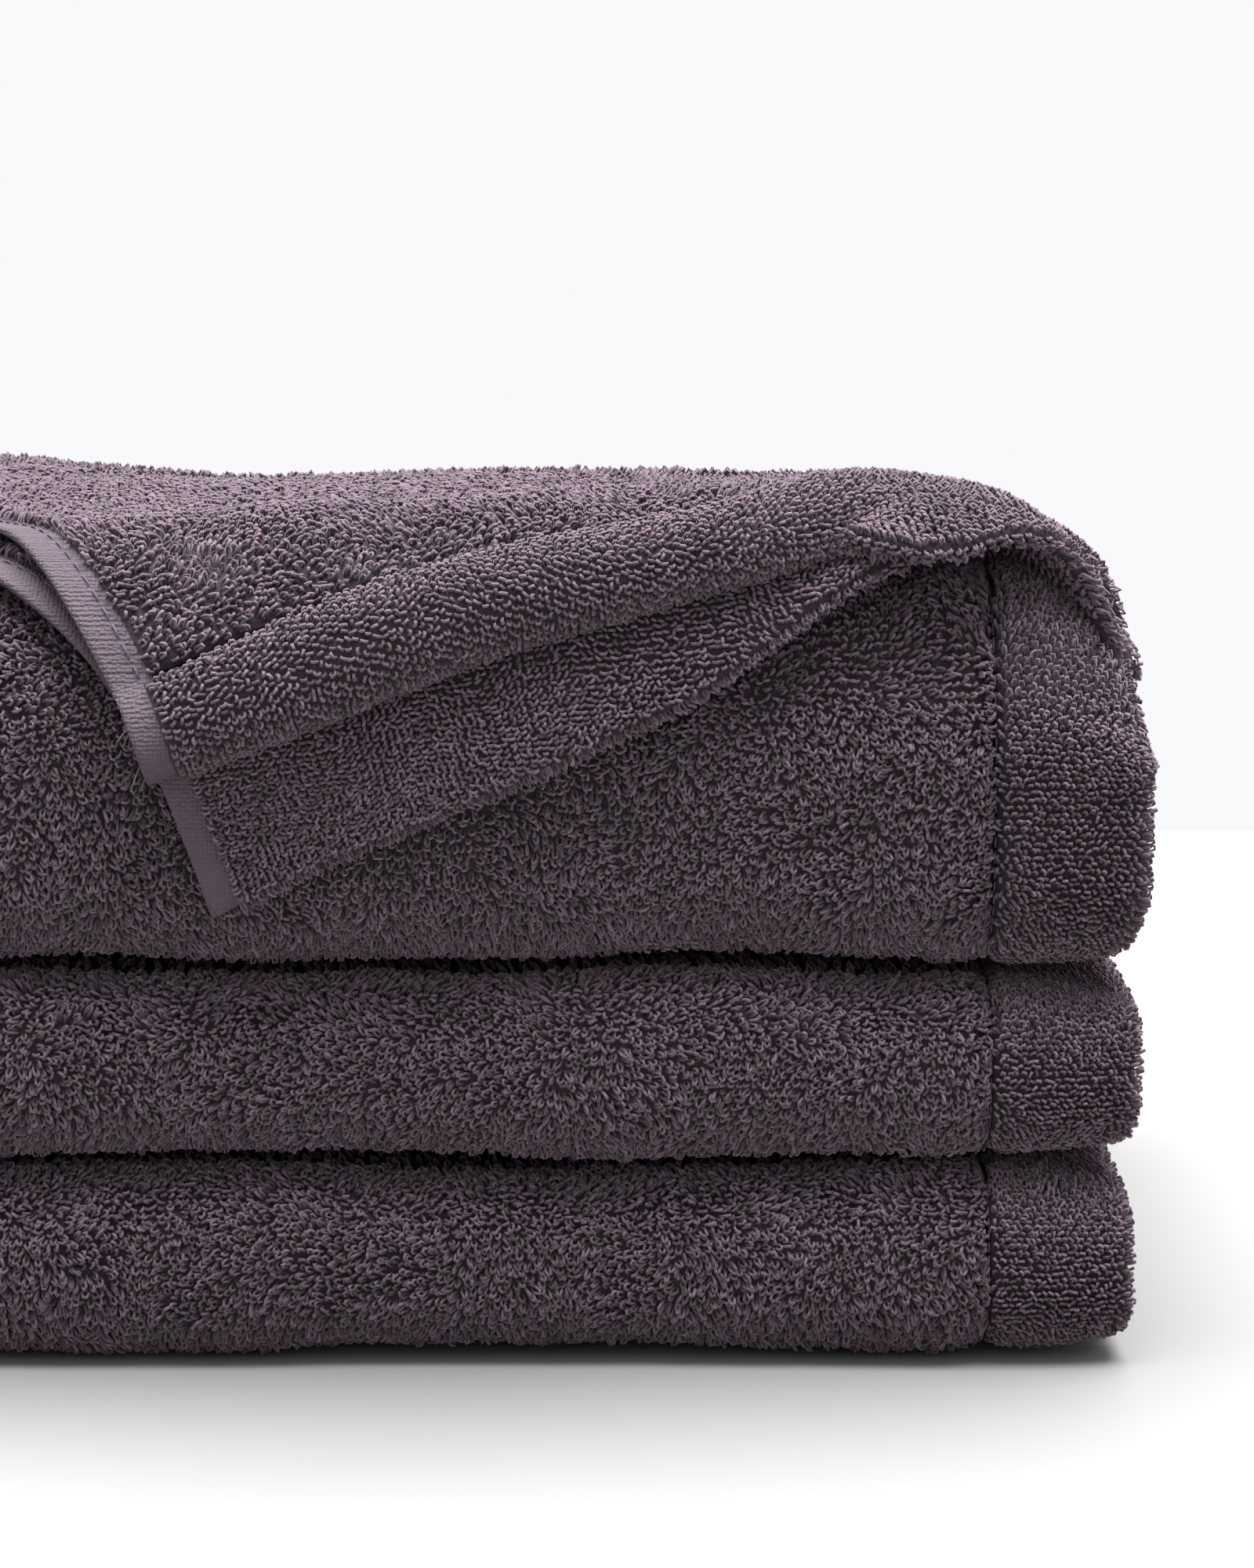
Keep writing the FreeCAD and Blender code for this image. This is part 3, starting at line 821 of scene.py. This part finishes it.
def loose_ends(layer, name):
    """Broken ends of yarn at the open end of the rolled hem."""
    count = 9
    q = rng.uniform(2 * MM, HEM_WIDTH - 6 * MM, count)
    a = np.full(count, layer.length - 1 * MM)
    root, normal = layer.faces(a, q, 0)[0], layer.faces(a, q, 0)[2]
    out = unit(layer.place(a + 1 * MM, q) - layer.place(a - 1 * MM, q))
    steps = np.linspace(0, 1, 7)[None, :, None]
    length = rng.uniform(1.5, 4, count)[:, None, None] * MM
    droop = np.array([0, 0, -1.0])
    side = rng.standard_normal((count, 3))
    path = (root[:, None] + out[:, None] * steps * length * 0.7 + droop * steps ** 2 * length * 0.7
            + side[:, None] * steps ** 2 * length * 0.25)
    points, faces = strands(path, unit(np.cross(out, normal)), 0.16 * MM)
    return make_mesh(name, points, faces, yarns[2])


for name, layer in layers.items():
    inner_a = layer.length - TURNED_SIDE_HEM
    c_low = -math.pi * layer.radius(np.array(0.0)) - 2 * MM
    seam_q = HEM_WIDTH + 0.7 * MM
    parts = {}
    # terry in front of the crease
    q_end = layer.q_at(SPLIT, inner_a) - 2 * MM
    q = np.linspace(seam_q, q_end, 90)
    parts["terry"] = (lay_out(layer.a_at(SPLIT, q), np.full_like(q, inner_a), 90),
                      np.repeat(q[:, None], 90, 1))
    # terry of the roll
    c = np.linspace(c_low, SPLIT, 30)
    q_far = layer.q_at(c, inner_a) - 2 * MM
    qq = lay_out(np.full_like(c, seam_q), q_far, 90)
    parts["roll_terry"] = (c[:, None] - qq * layer.side_c) / layer.way_c, qq
    # end hem
    q = np.linspace(0, HEM_WIDTH - 0.7 * MM, 40)
    parts["end_hem"] = (lay_out(layer.a_at(SPLIT, q), np.full_like(q, inner_a + 2 * MM), 110),
                        np.repeat(q[:, None], 110, 1))
    qq = lay_out(np.zeros_like(c), np.full_like(c, HEM_WIDTH - 0.7 * MM), 40)
    parts["roll_end_hem"] = (c[:, None] - qq * layer.side_c) / layer.way_c, qq
    # side hem
    q = np.linspace(0, layer.q_at(SPLIT, layer.length), 130)
    first = np.maximum(layer.a_at(SPLIT, q), inner_a)
    parts["side_hem"] = lay_out(first, np.full_like(q, layer.length), 8), np.repeat(q[:, None], 8, 1)
    aa = lay_out(np.full_like(c, inner_a), np.full_like(c, layer.length), 8)
    parts["roll_side_hem"] = aa, (c[:, None] - aa * layer.way_c) / layer.side_c
    made = {}
    for part, (a, q) in parts.items():
        kind = part.replace("roll_", "")
        thickness = THICKNESS[kind]
        if kind == "end_hem":
            edge = np.minimum(q, HEM_WIDTH - q) / (3 * MM)
            rounding = np.clip(1 - (1 - np.clip(edge, 0, 1)) ** 2 * 0.8, 0.1, 1)
            thickness = thickness * np.sqrt(rounding)[..., None]
        if kind == "side_hem":
            thickness = (thickness + 1.5 * MM * smooth(HEM_WIDTH + 1 * MM, HEM_WIDTH - 2 * MM, q))[..., None]
        upper, lower, normal = layer.faces(a, q, thickness)
        material = {"side_hem": woven, "end_hem": hem_cloth, "terry": ground}[kind]
        made[part] = thick_sheet(f"{name}_layer_{part}", upper, lower, material)
        if not part.startswith("roll"):
            for node in (f"flap_{name}_{kind}", f"corner_{name}_{kind}"):
                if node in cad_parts:
                    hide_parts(node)
    roll, flat = [], []
    # loops on the outer face, regular rows on the hem
    limit = layer.q_at(c_low, inner_a)
    p, q = scatter(-20 * MM, inner_a, seam_q + 0.5 * MM, limit, 1.28 * MM, 1.37 * MM, 0.34)
    c_here = p * layer.way_c + q * layer.side_c
    places = {"terry": (p, q, c_here, BODY_LOOPS)}
    q, p = scatter(0.4 * MM, HEM_WIDTH - (1.6 if name == "upper" else 0.8) * MM, -20 * MM, inner_a + 2 * MM,
                   0.95 * MM, 1.4 * MM, 0.2)
    places["end_hem"] = p, q, p * layer.way_c + q * layer.side_c, KNOTS
    tufts = scatter(-20 * MM, inner_a, HEM_WIDTH - 0.4 * MM, HEM_WIDTH + 1.8 * MM, 1.2 * MM, 1.0 * MM, 0.4)
    if name == "lower":
        places["tufts"] = *tufts, tufts[0] * layer.way_c + tufts[1] * layer.side_c, TUFTS
    for kind, (p, q, c_here, style) in places.items():
        outside = layer.outside(THICKNESS["end_hem" if kind == "end_hem" else "terry"])
        for where, group in (("", c_here >= SPLIT), ("roll_", (c_here < SPLIT) & (c_here > c_low))):
            if not np.any(group):
                continue
            piles = loop_pile(f"{name}_layer_{where}{kind}_loops", outside, p[group], q[group], style, 1.3,
                              fine=not where)
            (roll if where else flat).extend(piles)
    # loops of the under side
    p, q = scatter(-20 * MM, inner_a, HEM_WIDTH, limit, 2.3 * MM, 2.6 * MM, 0.34)
    c_here = p * layer.way_c + q * layer.side_c
    for where, group in (("", c_here >= SPLIT), ("roll_", (c_here < SPLIT) & (c_here > c_low))):
        piles = loop_pile(f"{name}_layer_{where}under_loops", layer.inside(THICKNESS["terry"]),
                          p[group], q[group], UNDER_LOOPS, 2.6)
        (roll if where else flat).extend(piles)
    p, q = scatter(-20 * MM, inner_a + 2 * MM, 0.3 * MM, 31 * MM, 1.6 * MM, 1.7 * MM, 0.25)
    c_here = p * layer.way_c + q * layer.side_c
    near = (q < 9 * MM) | (c_here < SPLIT + 25 * MM) | (rng.uniform(0, 1, len(p)) < 0.55)
    p, q, c_here = p[near], q[near], c_here[near]
    inside = layer.inside(THICKNESS["end_hem"])
    for where, group in (("", c_here >= SPLIT), ("roll_", (c_here < SPLIT) & (c_here > c_low))):
        piles = loop_pile(f"{name}_layer_{where}hem_edge_loops", inside, p[group], q[group],
                          SHORT_LOOPS if where else EDGE_LOOPS, 0.7)
        (roll if where else flat).extend(piles)

    # loops round the hem's free edge
    def rim(a, v, height, layer=layer):
        out = unit(layer.place(a, -0.4 * MM) - layer.place(a, 0.4 * MM))
        face = layer.faces(a, np.zeros_like(a), 0)
        return face[0] + face[2] * v[..., None] + out * np.asarray(height)[..., None]
    p, q = scatter(-24 * MM, inner_a + 2 * MM, -1.6 * MM, 1.6 * MM, 1.4 * MM, 1.1 * MM, 0.3)
    c_here = p * layer.way_c
    for where, group in (("", c_here >= SPLIT), ("roll_", (c_here < SPLIT) & (c_here > c_low))):
        piles = loop_pile(f"{name}_layer_{where}hem_rim_loops", rim, p[group], q[group], EDGE_LOOPS, 0.7)
        (roll if where else flat).extend(piles)

    # stitching
    def on_layer(a, q, height, layer=layer):
        return layer.outside(1.4 * MM)(a, q, height)
    a = np.arange(layer.a_at(SPLIT, HEM_WIDTH) + 1 * MM, inner_a - 3 * MM, 3.4 * MM)
    hem_thread = stitches(f"{name}_layer_end_hem_stitches", on_layer, a, np.full_like(a, HEM_WIDTH),
                          a + 2.6 * MM, np.full_like(a, HEM_WIDTH))
    q = np.arange(2 * MM, layer.q_at(SPLIT, inner_a) - 4 * MM, 3.4 * MM)
    side_a = inner_a + 2.2 * MM
    side_thread = stitches(f"{name}_layer_side_hem_stitches", on_layer, np.full_like(q, side_a), q,
                           np.full_like(q, side_a), q + 2.6 * MM)
    for piece, kind in ((hem_thread, "end_hem_stitching"), (side_thread, "side_hem_stitching")):
        flat.append(piece)
        for node in (f"flap_{name}_{kind}", f"corner_{name}_{kind}"):
            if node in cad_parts:
                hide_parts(node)
    if name == "upper":
        flat.append(loose_ends(layer, "upper_layer_loose_yarn_ends"))
    flat += [made["end_hem"], made["side_hem"]]
    roll += [made["roll_end_hem"], made["roll_side_hem"]]
    for piece in roll + [made["roll_terry"]]:
        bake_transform(piece)
    for piece in flat + [made["terry"]]:
        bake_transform(piece)
    for part, going, held in (("terry", flat, "hung"), ("roll_terry", roll, "folded")):
        a, q = parts[part]

# --- floor and light ----------------------------------------------------------------------------------
FLOOR_HALF = 3
FLOOR_BACK = 0.57           # where the floor's edge shows behind the stack
SKY_ENERGY = 11.5
SKY_ANGLE = 58              # degrees; a wide sun is a soft overhead light
floor_mesh = bpy.data.meshes.new("floor")
floor_corners = [(-FLOOR_HALF, -FLOOR_HALF, 0), (FLOOR_HALF, -FLOOR_HALF, 0),
                 (FLOOR_HALF, FLOOR_BACK, 0), (-FLOOR_HALF, FLOOR_BACK, 0)]
floor_mesh.from_pydata(floor_corners, [], [(0, 1, 2, 3)])
floor = bpy.data.objects.new("floor", floor_mesh)
bpy.context.collection.objects.link(floor)
white = cloth_material("floor_white", (0.235, 0.233, 0.230), 0.6)
floor_mesh.materials.append(white)
world = bpy.data.worlds.new("studio")
bpy.context.scene.world = world
world.use_nodes = True
backdrop = world.node_tree.nodes["Background"]
backdrop.inputs["Color"].default_value = (0.945, 0.945, 0.965, 1)
backdrop.inputs["Strength"].default_value = 1.0
sky = bpy.data.lights.new("overhead_light", "SUN")
sky.energy = SKY_ENERGY
sky.angle = math.radians(SKY_ANGLE)
sky_object = bpy.data.objects.new("overhead_light", sky)
sky_object.rotation_euler = (math.radians(-4), math.radians(3), 0)
bpy.context.collection.objects.link(sky_object)
bpy.context.scene.view_settings.view_transform = "Standard"
